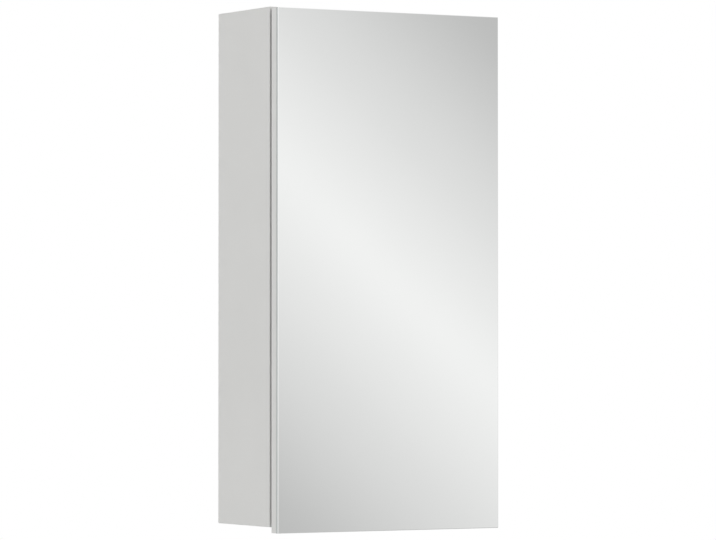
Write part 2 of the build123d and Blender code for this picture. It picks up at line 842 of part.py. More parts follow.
with BuildPart() as mirror_glass:
    with BuildSketch(front_view(door_mirror_y)):
        with Locations((0, door_mid)):
            Rectangle(door_width, door_height)
    extrude(amount=mirror_thickness)
    chamfer(mirror_glass.faces().sort_by(Axis.Y)[0].edges(), length=mirror_arris)

# Clear buffers on the back of the door, where it meets the front of the left side panel
with BuildPart() as door_buffers:
    with BuildSketch(front_view(door_rear_y)):
        with GridLocations(0, 2 * panel_mid_height, 1, 2):
            with Locations((-side_band_x, 0)):
                Circle(buffer_radius)
    extrude(amount=buffer_play - door_gap)
    chamfer(door_buffers.edges().group_by(Axis.Y)[-1], length=buffer_crown)

pieces = {
    "left_side_panel": left_side_panel,
    "right_side_panel": right_side_panel,
    "top_panel": top_panel,
    "bottom_panel": bottom_panel,
    "back_panel": back_panel,
    "back_panel_screws": back_panel_screws,
    "carcass_edge_bands": carcass_edge_bands,
    "cam_locks": cam_locks,
    "cam_bolts": cam_bolts,
    "cam_covers": cam_covers,
    "dowels": dowels,
    "left_hanging_bracket": left_hanging_bracket,
    "right_hanging_bracket": right_hanging_bracket,
    "hanging_bracket_screws": hanging_bracket_screws,
    "mounting_plate_screws": mounting_plate_screws,
    "arm_fixing_screws": arm_fixing_screws,
    "arm_adjusting_screws": arm_adjusting_screws,
    "hinge_pins": hinge_pins,
    "cup_springs": cup_springs,
    "cup_screws": cup_screws,
    "door_board": door_board,
    "door_edge_bands": door_edge_bands,
    "mirror_tapes": mirror_tapes,
    "mirror_glass": mirror_glass,
    "door_buffers": door_buffers,
}
for name, underside in zip(shelf_names, shelf_undersides):
    pieces[name] = glass_shelf(underside)
    pieces[f"{name}_pins"] = shelf_pins(underside)
for height_name, hinge in hinges.items():
    for piece_name, piece in hinge.items():
        pieces[f"{height_name}_{piece_name}"] = piece

os.makedirs("parts", exist_ok=True)
for name, piece in pieces.items():
    piece.part.label = name
    export_step(piece.part, f"parts/{name}.step")
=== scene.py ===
"""Finishes, small fittings and studio for the solids of a mirror cabinet."""

import math
from typing import NamedTuple

import bmesh
import bpy
from bpy.props import FloatProperty, FloatVectorProperty, IntProperty, PointerProperty
from mathutils import Matrix, Vector


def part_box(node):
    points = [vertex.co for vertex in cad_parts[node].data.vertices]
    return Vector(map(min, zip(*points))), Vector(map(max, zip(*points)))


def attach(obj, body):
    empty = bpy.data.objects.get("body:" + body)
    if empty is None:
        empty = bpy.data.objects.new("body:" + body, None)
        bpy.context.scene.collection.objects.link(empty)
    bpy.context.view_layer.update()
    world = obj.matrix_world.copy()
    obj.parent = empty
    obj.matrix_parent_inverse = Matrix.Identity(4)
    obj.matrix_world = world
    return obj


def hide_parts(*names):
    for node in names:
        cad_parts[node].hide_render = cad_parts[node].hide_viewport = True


bl_info = {
    "name": "Mirror Cabinet",
    "version": (1, 0, 0),
    "blender": (4, 5, 0),
    "location": "3D View > Sidebar > Mirror Cabinet",
    "description": "Finishes, small fittings and studio for a wall cabinet with one mirrored door",
    "category": "Object",
}

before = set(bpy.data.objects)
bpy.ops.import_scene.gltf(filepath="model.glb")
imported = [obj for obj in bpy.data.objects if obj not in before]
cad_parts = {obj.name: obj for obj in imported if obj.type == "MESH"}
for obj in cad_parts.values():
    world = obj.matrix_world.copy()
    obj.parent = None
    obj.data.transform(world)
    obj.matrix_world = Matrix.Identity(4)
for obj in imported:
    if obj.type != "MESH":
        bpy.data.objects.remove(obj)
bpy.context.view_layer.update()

MM = 0.001
FULL_TURN = 2 * math.pi
X, Y, Z = range(3)
BLACK = (0.0, 0.0, 0.0)
WHITE = (1.0, 1.0, 1.0, 1.0)

# How deep a coating or a coat of paint is taken to reach into a board
COATING = 0.3 * MM

# Factor and colours among the inputs of a Mix node, and its colour among the outputs
MIX_INPUTS = (0, 6, 7)
MIX_OUTPUT = 2

# Way that a fitting faces when it looks at the middle of the cabinet
INWARD = 0

# Light that the mirror reflects: a ridge that fades over its width, from 0 to 1, into waves
RIDGE_OFFSET = 0.02357
RIDGE_WIDTH = math.radians(5.0)
RIDGE = [
    (0.0, 0.965),
    (0.11, 0.915),
    (0.22, 0.87),
    (0.335, 0.83),
    (0.43, 0.78),
    (0.56, 0.74),
    (0.67, 0.69),
    (0.78, 0.64),
    (0.9, 0.575),
    (1.0, 0.525),
]
LEFT_WAVE_WIDTH = math.radians(17.0)
RIGHT_WAVE_WIDTH = math.radians(14.0)
WAVE = [(0.0, 0.533), (1.0, 0.98)]
BELOW_HORIZON = [(0.1, 1.0), (0.4, 0.78)]

# Floor: its radius in metres, and how far it fades to white on the way to its rim
FLOOR_RADIUS = 4.0
FLOOR_FADE = [(0.25, 0.55), (0.8, 1.0)]


# Settings
def linear(level):
    """Linear value of an 8-bit level on the sRGB curve."""
    part = level / 255
    return part / 12.92 if part < 0.04045 else ((part + 0.055) / 1.055) ** 2.4


def colour_property(name, description, *levels):
    """Colour property with its default in 8-bit levels of red, green and blue."""
    return FloatVectorProperty(
        name=name,
        description=description,
        subtype="COLOR",
        size=3,
        min=0.0,
        max=1.0,
        default=tuple(linear(level) for level in levels),
    )


def length_property(name, description, default):
    """Length property with its default in millimetres."""
    return FloatProperty(
        name=name,
        description=description,
        default=default * MM,
        min=0.0,
        subtype="DISTANCE",
        unit="LENGTH",
        precision=5,
    )


class CabinetSizes(bpy.types.PropertyGroup):
    """Sizes of the rounded edges and of the small fittings."""

    band_round: length_property("Band edge", "Rounding of the edge bands", 0.25)
    metal_round: length_property("Metal edge", "Rounding of the pressed and cast metal", 0.18)
    tape_round: length_property("Tape edge", "Rounding of the foam tape", 0.15)
    thread_depth: length_property("Thread depth", "Height of the screw threads", 0.45)
    thread_pitch: length_property("Thread pitch", "Distance between two turns of a thread", 1.4)
    flute_depth: length_property("Flute depth", "Depth of the flutes of the dowels", 0.35)
    flutes: IntProperty(name="Flutes", description="Flutes round a dowel", default=18, min=6)
    turning_steps: IntProperty(
        name="Turning steps", description="Faces round a turned fitting", default=32, min=12
    )


class CabinetFinishes(bpy.types.PropertyGroup):
    """Colours of the finishes."""

    white_coating: colour_property("White coating", "Melamine on the boards", 231, 231, 229)
    edge_band: colour_property("Edge band", "Plastic bands on the edges", 233, 233, 231)
    chip_light: colour_property("Chip, light", "Light flakes of the chipboard", 214, 184, 141)
    chip_dark: colour_property("Chip, dark", "Dark flakes of the chipboard", 140, 103, 66)
    fibre_light: colour_property("Fibreboard, light", "Light fibres of the back", 170, 131, 92)
    fibre_dark: colour_property("Fibreboard, dark", "Dark fibres of the back", 112, 78, 50)
    zinc: colour_property("Zinc", "Zinc plating of brackets and screws", 206, 208, 211)
    cast_zinc: colour_property("Cast zinc", "Cams of the corner joints", 148, 150, 152)
    nickel: colour_property("Nickel", "Plating of the hinges and shelf pins", 219, 216, 210)
    pin_steel: colour_property("Steel", "Pivot pins and springs", 176, 177, 179)
    beech: colour_property("Beech", "Dowels", 205, 164, 120)
    beech_dark: colour_property("Beech, dark", "Grain of the dowels", 164, 117, 78)
    white_plastic: colour_property("White plastic", "Caps over the cams", 228, 228, 225)
    foam: colour_property("Foam tape", "Tape behind the mirror", 205, 206, 206)
    mirror_silver: colour_property("Silver", "Silvered glass", 248, 249, 248)
    mirror_edge: colour_property("Mirror edge", "Ground edge of the mirror", 221, 226, 224)
    mirror_paint: colour_property("Mirror paint", "Paint behind the mirror", 118, 124, 128)
    glass: colour_property("Glass", "Faces of the glass shelves", 250, 253, 251)
    glass_edge: colour_property("Glass edge", "Edges of the glass shelves", 142, 190, 172)
    silicone: colour_property("Silicone", "Buffers of the door", 240, 242, 242)


class CabinetStudio(bpy.types.PropertyGroup):
    """Camera, lamps and surroundings."""

    lens: FloatProperty(
        name="Lens", description="Focal length of the camera", default=205.04, unit="CAMERA"
    )
    camera_yaw: FloatProperty(
        name="Camera yaw",
        description="Turn of the camera to the right of straight on",
        default=math.radians(29.979),
        subtype="ANGLE",
        unit="ROTATION",
    )
    camera_place: FloatVectorProperty(
        name="Camera place",
        description="Place of the camera",
        default=(-2.5883, -4.5633, -0.096),
        size=3,
        subtype="TRANSLATION",
        unit="LENGTH",
    )
    camera_tilt: FloatProperty(
        name="Camera tilt",
        description="Upward tilt of the camera",
        default=math.radians(1.0414),
        subtype="ANGLE",
        unit="ROTATION",
    )
    ambient: FloatProperty(
        name="Ambient", description="Level of the light from all around", default=0.36, min=0.0
    )
    key_power: FloatProperty(
        name="Key lamp", description="Power of the lamp on the left", default=41.5, unit="POWER"
    )
    fill_power: FloatProperty(
        name="Fill lamp", description="Power of the lamp in front", default=46.0, unit="POWER"
    )
    rear_power: FloatProperty(
        name="Rear lamp", description="Power of the lamp behind", default=36.0, unit="POWER"
    )
    floor_level: FloatProperty(
        name="Floor",
        description="Height of the floor under the middle of the cabinet",
        default=-1.1,
        subtype="DISTANCE",
        unit="LENGTH",
    )
    floor_colour: colour_property("Floor", "Colour of the floor", 244, 244, 243)


# Shading
class Socket:
    """An output of a node; arithmetic and comparisons on it add Math nodes."""

    def __init__(self, shading, output):
        self.shading = shading
        self.output = output

    def __add__(self, other):
        return self.shading.maths("ADD", self, other)

    def __radd__(self, other):
        return self.shading.maths("ADD", other, self)

    def __sub__(self, other):
        return self.shading.maths("SUBTRACT", self, other)

    def __rsub__(self, other):
        return self.shading.maths("SUBTRACT", other, self)

    def __mul__(self, other):
        return self.shading.maths("MULTIPLY", self, other)

    def __truediv__(self, other):
        return self.shading.maths("DIVIDE", self, other)

    def __abs__(self):
        return self.shading.maths("ABSOLUTE", self)

    def __lt__(self, other):
        return self.shading.maths("LESS_THAN", self, other)

    def __gt__(self, other):
        return self.shading.maths("GREATER_THAN", self, other)


class Shading:
    """The nodes of one material or of the world."""

    def __init__(self, owner):
        owner.use_nodes = True
        self.owner = owner
        self.tree = owner.node_tree
        self.tree.nodes.clear()

    def node(self, kind, settings=None, inputs=None, output=0):
        """New node: its settings first, then the values or links of its inputs."""
        made = self.tree.nodes.new(kind)
        for name, value in (settings or {}).items():
            if name == "stops":
                self.set_stops(made.color_ramp, *value)
            else:
                setattr(made, name, value)
        for name, value in (inputs or {}).items():
            if isinstance(value, Socket):
                self.tree.links.new(value.output, made.inputs[name])
            else:
                made.inputs[name].default_value = value
        return Socket(self, made.outputs[output]) if made.outputs else None

    @staticmethod
    def set_stops(ramp, interpolation, stops):
        ramp.interpolation = interpolation
        while len(ramp.elements) < len(stops):
            ramp.elements.new(1.0)
        for element, (position, level) in zip(ramp.elements, stops):
            element.position = position
            element.color = (level, level, level, 1.0)

    def maths(self, operation, *values):
        return self.node("ShaderNodeMath", {"operation": operation}, dict(enumerate(values)))

    def place(self):
        """Object coordinates, in metres."""
        return self.node("ShaderNodeTexCoord", output="Object")

    def facing(self):
        """Normal in the object's own axes."""
        return self.node("ShaderNodeTexCoord", output="Normal")

    def ray(self, kind):
        """1 for rays of a kind, such as Camera."""
        return self.node("ShaderNodeLightPath", output=f"Is {kind} Ray")

    def parts(self, vector):
        """The three parts of a vector or colour."""
        first = self.node("ShaderNodeSeparateXYZ", None, {"Vector": vector})
        return [Socket(self, output) for output in first.output.node.outputs]

    def stretched(self, vector, scale):
        return self.node("ShaderNodeMapping", None, {"Vector": vector, "Scale": scale})

    def noise(self, vector, scale, detail=2.0, roughness=0.5):
        values = {"Vector": vector, "Scale": scale, "Detail": detail, "Roughness": roughness}
        return self.node("ShaderNodeTexNoise", None, values)

    def cells(self, vector, scale, feature="F1", output="Distance"):
        values = {"Vector": vector, "Scale": scale}
        return self.node("ShaderNodeTexVoronoi", {"feature": feature}, values, output)

    def ramp(self, value, stops, interpolation="LINEAR"):
        """Grey level read off a ramp of places and levels."""
        settings = {"stops": (interpolation, stops)}
        return self.node("ShaderNodeValToRGB", settings, {"Fac": value})

    def mix(self, factor, first, second):
        """Colour mix; a plain colour may be given as three numbers."""
        colours = [c if isinstance(c, Socket) else (*c, 1.0) for c in (first, second)]
        inputs = dict(zip(MIX_INPUTS, (factor, *colours)))
        return self.node("ShaderNodeMix", {"data_type": "RGBA"}, inputs, MIX_OUTPUT)

    def blend(self, factor, first, second):
        """Mix of two shaders."""
        return self.node("ShaderNodeMixShader", None, {0: factor, 1: first, 2: second})

    def bump(self, height, distance, strength):
        values = {"Height": height, "Distance": distance, "Strength": strength}
        return self.node("ShaderNodeBump", None, values)

    def background(self, colour, strength=1.0):
        values = {"Color": colour, "Strength": strength}
        return self.node("ShaderNodeBackground", None, values)

    def principled(self, **inputs):
        """Principled shader; the names of its inputs have _ for a space."""
        values = {
            name if name.isupper() else name.replace("_", " ").title(): value
            for name, value in inputs.items()
        }
        return self.node("ShaderNodeBsdfPrincipled", None, values)

    def finish(self, shader):
        """Closes the material with its shader and returns it."""
        self.node("ShaderNodeOutputMaterial", None, {"Surface": shader})
        return self.owner

    def surface(self, **inputs):
        """Closes the material with a Principled shader alone and returns it."""
        return self.finish(self.principled(**inputs))


def new_shading(name):
    return Shading(bpy.data.materials.new(name))


def near(shading, value, low, high):
    """1 where a value is within a coating's depth of either of two places."""
    return shading.maths("MINIMUM", abs(value - low), abs(value - high)) < COATING


def chipboard(shading, point, finishes):
    """Colour and height of pressed wood flakes."""
    flake_scale = 620
    wander = shading.noise(point, 240, detail=3.0)
    along = shading.stretched(point, (1.0, 1.0, 0.55))
    tone = shading.parts(shading.cells(along, flake_scale, output="Color"))[0]
    seams = shading.cells(point, flake_scale, feature="DISTANCE_TO_EDGE")
    colour = shading.mix(tone * 0.75 + wander * 0.3, finishes.chip_light, finishes.chip_dark)
    colour = shading.mix(seams < 0.035, colour, finishes.chip_dark)
    return colour, tone * 0.7 + wander * 0.6


def coated_board(name, node, axis, finishes):
    """White melamine on both faces of a board, chipboard where it is sawn or bored."""
    low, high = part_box(node)
    faces = sorted((abs(low[axis]), abs(high[axis])))
    shading = new_shading(name)
    point = shading.place()
    coated = near(shading, abs(shading.parts(point)[axis]), *faces)
    pearl = shading.noise(point, 900, detail=3.0, roughness=0.6)
    cloud = shading.noise(point, 9)
    white = shading.mix(cloud * 0.05, finishes.white_coating, BLACK)
    chips, chip_height = chipboard(shading, point, finishes)
    height = coated * pearl * 0.18 + (1 - coated) * chip_height
    return shading.surface(
        base_color=shading.mix(coated, chips, white),
        roughness=0.34 + pearl * 0.14 + (1 - coated) * 0.45,
        normal=shading.bump(height, 0.12 * MM, 0.5),
    )


def banded_edge(name, finishes):
    """Smooth white plastic with faint draw lines along the upright bands."""
    shading = new_shading(name)
    point = shading.place()
    along = shading.stretched(point, (1.0, 1.0, 0.05))
    lines = shading.noise(along, 900, roughness=0.6)
    cloud = shading.noise(point, 14)
    return shading.surface(
        base_color=shading.mix(cloud * 0.05, finishes.edge_band, BLACK),
        roughness=0.26 + lines * 0.16,
        normal=shading.bump(lines, 0.02 * MM, 0.5),
    )


def fibreboard(name, finishes):
    """Hardboard: white paint on the side towards the shelves, a pressed mesh on the rear."""
    mesh_pitch = 1.7 * MM
    low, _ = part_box("back_panel")
    shading = new_shading(name)
    point = shading.place()
    x, y, z = shading.parts(point)
    painted = abs(y - low.y) < COATING
    fibres = shading.noise(
        shading.stretched(point, (1.0, 1.0, 0.3)), 420, detail=5.0, roughness=0.65
    )
    mottling = shading.noise(point, 24, detail=3.0)
    across, up = (shading.maths("SINE", part * (FULL_TURN / mesh_pitch)) for part in (x, z))
    threads = shading.noise(shading.stretched(point, (1.0, 1.0, 0.15)), 900)
    strands = shading.ramp(threads, [(0.38, 1.0), (0.5, 0.0)])
    tone = fibres * 0.8 + mottling * 0.7 - 0.25
    brown = shading.mix(tone, finishes.fibre_dark, finishes.fibre_light)
    brown = shading.mix(strands * 0.35, brown, finishes.fibre_dark)
    white = shading.mix(mottling * 0.05, finishes.white_coating, BLACK)
    height = painted * fibres * 0.06 + (1 - painted) * (fibres * 0.5 + across * up * 0.7)
    return shading.surface(
        base_color=shading.mix(painted, brown, white),
        roughness=painted * 0.4 + (1 - painted) * (0.62 + fibres * 0.25),
        normal=shading.bump(height, 0.15 * MM, 0.7),
    )


def plated(name, colour, roughness, brushed=(1.0, 1.0, 1.0), grain=0.12, cloud_scale=60):
    """Plated metal: cloudy sheen, fine drawn lines and a few scuffs."""
    shading = new_shading(name)
    point = shading.place()
    lines = shading.noise(shading.stretched(point, brushed), 1400, detail=3.0, roughness=0.7)
    clouds = shading.noise(point, cloud_scale, detail=3.0)
    scuffs = shading.noise(
        shading.stretched(point, (1.0, 3.0, 0.4)), 260, detail=6.0, roughness=0.75
    )
    marks = shading.ramp(scuffs, [(0.62, 0.0), (0.74, 1.0)])
    dull = tuple(part * 0.78 for part in colour)
    return shading.surface(
        base_color=shading.mix(clouds * 0.5 + marks * 0.3, colour, dull),
        metallic=1.0,
        roughness=roughness + lines * grain + marks * 0.12,
        normal=shading.bump(lines + marks * 0.5, 0.02 * MM, 0.5),
    )


def cast_metal(name, colour):
    """Die-cast metal with a soft grey skin and small pits."""
    shading = new_shading(name)
    point = shading.place()
    skin = shading.noise(point, 700, detail=4.0, roughness=0.7)
    pits = shading.cells(point, 900) < 0.12
    dark = tuple(part * 0.55 for part in colour)
    return shading.surface(
        base_color=shading.mix(skin * 0.6 + pits * 0.4, colour, dark),
        metallic=1.0,
        roughness=0.42 + skin * 0.22,
        normal=shading.bump(skin - pits, 0.05 * MM, 0.6),
    )


def moulded(name, colour):
    """Moulded plastic with a fine eroded texture."""
    shading = new_shading(name)
    point = shading.place()
    texture = shading.noise(point, 1500, roughness=0.6)
    cloud = shading.noise(point, 60)
    return shading.surface(
        base_color=shading.mix(cloud * 0.08, colour, BLACK),
        roughness=0.38 + texture * 0.12,
        normal=shading.bump(texture, 0.02 * MM, 0.6),
    )


def beech_wood(name, finishes):
    """Beech with its grain along the dowels and small flecks."""
    shading = new_shading(name)
    point = shading.place()
    grain = shading.noise(
        shading.stretched(point, (0.12, 1.0, 1.0)), 900, detail=4.0, roughness=0.6
    )
    flecks = shading.cells(shading.stretched(point, (0.3, 1.0, 1.0)), 1500) < 0.16
    return shading.surface(
        base_color=shading.mix(grain * 0.7 + flecks * 0.3, finishes.beech, finishes.beech_dark),
        roughness=0.55 + grain * 0.2,
        normal=shading.bump(grain, 0.06 * MM, 0.6),
    )


def foam(name, colour):
    """Closed-cell foam: small bubbles cut open on the edges."""
    shading = new_shading(name)
    bubbles = shading.cells(shading.place(), 2600)
    return shading.surface(
        base_color=shading.mix(bubbles * 0.35, colour, (0.2, 0.2, 0.2)),
        roughness=0.7 + bubbles * 0.2,
        normal=shading.bump(bubbles, 0.1 * MM, 0.7),
    )


def silvered_glass(name, finishes):
    """Mirror: silver seen through the glass, ground edge, polished arris, painted back."""
    low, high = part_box("mirror_glass")
    shading = new_shading(name)
    point = shading.place()
    facing = shading.parts(shading.facing())[Y]
    silvered = facing < -0.4
    painted = facing > 0.5
    haze = shading.noise(point, 11, detail=3.0)
    film = shading.noise(point, 1700, roughness=0.6)
    ground = shading.noise(
        shading.stretched(point, (1.0, 3.0, 1.0)), 1800, detail=3.0, roughness=0.7
    )
    spray = shading.noise(point, 800, detail=3.0, roughness=0.6)
    depth = (shading.parts(point)[Y] - low.y) / (high.y - low.y)
    edge = shading.mix(depth * 0.25 + ground * 0.12, finishes.mirror_edge, finishes.mirror_paint)
    paint = shading.mix(spray * 0.35, finishes.mirror_paint, (0.1, 0.1, 0.1))
    silver = shading.mix(haze * 0.03, finishes.mirror_silver, (0.5, 0.5, 0.5))
    return shading.surface(
        base_color=shading.mix(silvered, shading.mix(painted, edge, paint), silver),
        metallic=silvered,
        roughness=silvered * (0.035 + film * 0.02) + (1 - silvered) * (0.3 + ground * 0.3),
        coat_weight=(1 - silvered) * (1 - painted) * 0.5,
        normal=shading.bump((1 - silvered) * (ground + spray), 0.02 * MM, 0.4),
    )


def shelf_glass(name, finishes):
    """Clear float glass, green in its ground edges."""
    shading = new_shading(name)
    point = shading.place()
    edge = abs(shading.parts(shading.facing())[Z]) < 0.9
    ground = shading.noise(point, 1600, detail=3.0, roughness=0.7)
    wipes = shading.noise(
        shading.stretched(point, (0.4, 1.0, 1.0)), 30, detail=4.0, roughness=0.6
    )
    return shading.surface(
        base_color=shading.mix(edge, finishes.glass, finishes.glass_edge),
        roughness=edge * (0.08 + ground * 0.12) + (1 - edge) * wipes * 0.025,
        IOR=1.52,
        transmission_weight=1.0,
        normal=shading.bump(edge * ground, 0.02 * MM, 0.3),
    )


def clear_rubber(name, colour):
    """Translucent silicone with a soft skin and a trace of dust."""
    shading = new_shading(name)
    skin = shading.noise(shading.place(), 900, detail=3.0, roughness=0.6)
    return shading.surface(
        base_color=shading.mix(skin * 0.12, colour, (0.55, 0.55, 0.52)),
        roughness=0.16 + skin * 0.2,
        IOR=1.41,
        transmission_weight=0.85,
        normal=shading.bump(skin, 0.03 * MM, 0.4),
    )


# Pieces of the frame
def dress(material, *names):
    """Gives CAD nodes their finish."""
    for name in names:
        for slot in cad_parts[name].material_slots:
            slot.material = material


def round_edges(names, width):
    """Small rounded edges on CAD nodes, by modifiers alone."""
    for name in names:
        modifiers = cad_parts[name].modifiers
        weld = modifiers.new("Weld", "WELD")
        weld.merge_threshold = 0.001 * MM
        planar = modifiers.new("Planar", "DECIMATE")
        planar.decimate_type = "DISSOLVE"
        planar.angle_limit = math.radians(0.5)
        bevel = modifiers.new("Bevel", "BEVEL")
        bevel.width = width
        bevel.segments = 2
        bevel.limit_method = "ANGLE"
        bevel.angle_limit = math.radians(30.0)


def solids_of(name):
    """Lowest and highest corner of each separate solid of a CAD node, in order."""
    bm = bmesh.new()
    bm.from_mesh(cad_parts[name].data)
    bmesh.ops.remove_doubles(bm, verts=bm.verts, dist=0.001 * MM)
    boxes = []
    waiting = set(bm.verts)
    while waiting:
        reached = [waiting.pop()]
        for vert in reached:
            for edge in vert.link_edges:
                other = edge.other_vert(vert)
                if other in waiting:
                    waiting.remove(other)
                    reached.append(other)
        columns = list(zip(*(vert.co for vert in reached)))
        boxes.append((tuple(map(min, columns)), tuple(map(max, columns))))
    bm.free()
    return sorted(boxes)


def seats(name, axis, way):
    """Matrix of each solid of a node, in millimetres: its far end along an axis, facing that way.

    A way is 1, -1 or INWARD.
    """
    matrices = []
    for low, high in solids_of(name):
        spot = [(a + b) / 2 for a, b in zip(low, high)]
        sign = way or (-1 if spot[axis] > 0 else 1)
        spot[axis] = high[axis] if sign > 0 else low[axis]
        direction = Vector((0, 0, 0))
        direction[axis] = sign
        turn = direction.to_track_quat("Z", "Y").to_matrix().to_4x4()
        matrices.append(Matrix.Translation(spot) @ turn @ Matrix.Scale(MM, 4))
    return matrices


# Modelling, in millimetres, each piece along Z with its far end at 0
def turned(bm, profile, steps):
    """Turns radius and height pairs round Z."""
    verts = [bm.verts.new((radius, 0.0, height)) for radius, height in profile]
    edges = [bm.edges.new(pair) for pair in zip(verts, verts[1:])]
    bmesh.ops.spin(
        bm,
        geom=verts + edges,
        cent=(0, 0, 0),
        axis=(0, 0, 1),
        dvec=(0, 0, 0),
        angle=FULL_TURN,
        steps=steps,
        use_merge=True,
    )
    bmesh.ops.remove_doubles(bm, verts=bm.verts, dist=1e-4)


def crown(inner, outer, drop, steps):
    """Profile points that round off a top, from an inner to an outer radius."""
    angles = [math.pi / 2 * step / steps for step in range(1, steps + 1)]
    spread = outer - inner
    return [(inner + spread * math.sin(a), drop * (math.cos(a) - 1)) for a in angles]


def boundary(bm):
    return [edge for edge in bm.edges if edge.is_boundary]


def cut_cross_recess(bm, reach, width, depth):
    """Closes the open top of a head round a tapered cross recess."""
    rim = boundary(bm)
    top = max(vert.co.z for edge in rim for vert in edge.verts)
    grid = bmesh.ops.create_grid(bm, x_segments=3, y_segments=3, size=1.0)["verts"]
    faces = list(dict.fromkeys(face for vert in grid for face in vert.link_faces))
    for vert in grid:
        for axis in (X, Y):
            span = reach if abs(vert.co[axis]) > 0.5 else width / 2
            vert.co[axis] = math.copysign(span, vert.co[axis])
        vert.co.z = top
    corners = [
        face
        for face in faces
        if all(abs(part) > width / 2 for part in face.calc_center_median().xy)
    ]
    bmesh.ops.delete(bm, geom=corners, context="FACES")
    cross = [face for face in faces if face.is_valid]
    edges = dict.fromkeys(edge for face in cross for edge in face.edges)
    outline = [edge for edge in edges if edge.is_boundary]
    raised = bmesh.ops.extrude_face_region(bm, geom=cross)
    floor = [part for part in raised["geom"] if isinstance(part, bmesh.types.BMVert)]
    bmesh.ops.translate(bm, vec=(0, 0, -depth), verts=floor)
    bmesh.ops.scale(bm, vec=(0.55, 0.55, 1), verts=floor)
    bmesh.ops.delete(bm, geom=[face for face in cross if face.is_valid], context="FACES_ONLY")
    outline = [edge for edge in outline if edge.is_valid]
    bmesh.ops.bridge_loops(bm, edges=rim + outline)


def add_thread(bm, core, crest, start, end, pitch):
    """Helical ridge down a shank, a closed shell of its own."""
    steps_per_turn = 24
    root = 0.92 * core
    half = 0.3 * pitch
    verts = [bm.verts.new((r, 0, start + z)) for r, z in ((root, half), (crest, 0), (root, -half))]
    edges = [bm.edges.new((verts[i], verts[i - 1])) for i in range(3)]
    count = int((start - end) / pitch * steps_per_turn)
    bmesh.ops.spin(
        bm,
        geom=verts + edges,
        cent=(0, 0, 0),
        axis=(0, 0, 1),
        dvec=(0, 0, -pitch / steps_per_turn),
        angle=FULL_TURN * count / steps_per_turn,
        steps=count,
    )
    bmesh.ops.holes_fill(bm, edges=boundary(bm), sides=3)


def screw(sizes, radius, head_radius, head_height, length):
    """Screw with a cross recess and a thread; its head is countersunk if it has no height."""
    core = radius - sizes.thread_depth / MM
    pitch = sizes.thread_pitch / MM
    if head_height == 0:
        mouth = 0.78 * head_radius
        rim = 0.03 * head_radius
        neck = radius - head_radius
        shank = neck - 0.4
        profile = [(mouth, 0), (head_radius - rim, 0), (head_radius, -rim), (radius, neck)]
    else:
        mouth = 0.66 * head_radius
        neck = -head_height
        shank = neck - 0.3
        profile = [(mouth, 0), *crown(mouth, head_radius, 0.5 * head_height, 5)]
        profile += [(head_radius, neck + 0.15), (0.96 * head_radius, neck), (radius, neck)]
    bottom = neck - length
    profile += [(radius, shank), (core, shank - 0.3), (core, bottom + 1.6 * core), (0.0, bottom)]
    bm = bmesh.new()
    turned(bm, profile, sizes.turning_steps)
    cut_cross_recess(
        bm, reach=0.5 * head_radius, width=0.3 * head_radius, depth=0.42 * head_radius
    )
    add_thread(bm, core, radius, shank - 0.3 - pitch, bottom + 1.8 * core, pitch)
    return bm


def repeated(one, matrices):
    """Copies of one model, each moved by its matrix."""
    template = bpy.data.meshes.new("template")
    one.to_mesh(template)
    one.free()
    whole = bmesh.new()
    for matrix in matrices:
        start = len(whole.verts)
        whole.from_mesh(template)
        whole.verts.ensure_lookup_table()
        bmesh.ops.transform(whole, matrix=matrix, verts=whole.verts[start:])
    bpy.data.meshes.remove(template)
    return whole


def hand_over(bm, name, body, material, node, crease=32.0):
    """Makes the finished model a piece that rides on its body in place of its CAD node."""
    bmesh.ops.recalc_face_normals(bm, faces=bm.faces)
    mesh = bpy.data.meshes.new(name)
    bm.to_mesh(mesh)
    bm.free()
    for polygon in mesh.polygons:
        polygon.use_smooth = True
    mesh.set_sharp_from_angle(angle=math.radians(crease))
    mesh.materials.append(material)
    piece = bpy.data.objects.new(name, mesh)
    bpy.context.scene.collection.objects.link(piece)
    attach(piece, body)
    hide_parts(node)


# Operators
class CABINET_OT_boards(bpy.types.Operator):
    """White coated chipboard with its edge bands, and the hardboard back"""

    bl_idname = "cabinet.boards"
    bl_label = "Boards and Bands"

    def execute(self, context):
        finishes = context.scene.cabinet_finishes
        boards = [
            ("side_board", X, ("left_side_panel", "right_side_panel")),
            ("level_board", Z, ("top_panel", "bottom_panel")),
            ("door_board", Y, ("door_board",)),
        ]
        for name, axis, nodes in boards:
            dress(coated_board(name, nodes[0], axis, finishes), *nodes)
        for body in ("carcass", "door"):
            dress(banded_edge(f"{body}_band", finishes), f"{body}_edge_bands")
            round_edges([f"{body}_edge_bands"], context.scene.cabinet_sizes.band_round)
        dress(fibreboard("back_fibreboard", finishes), "back_panel")
        return {"FINISHED"}


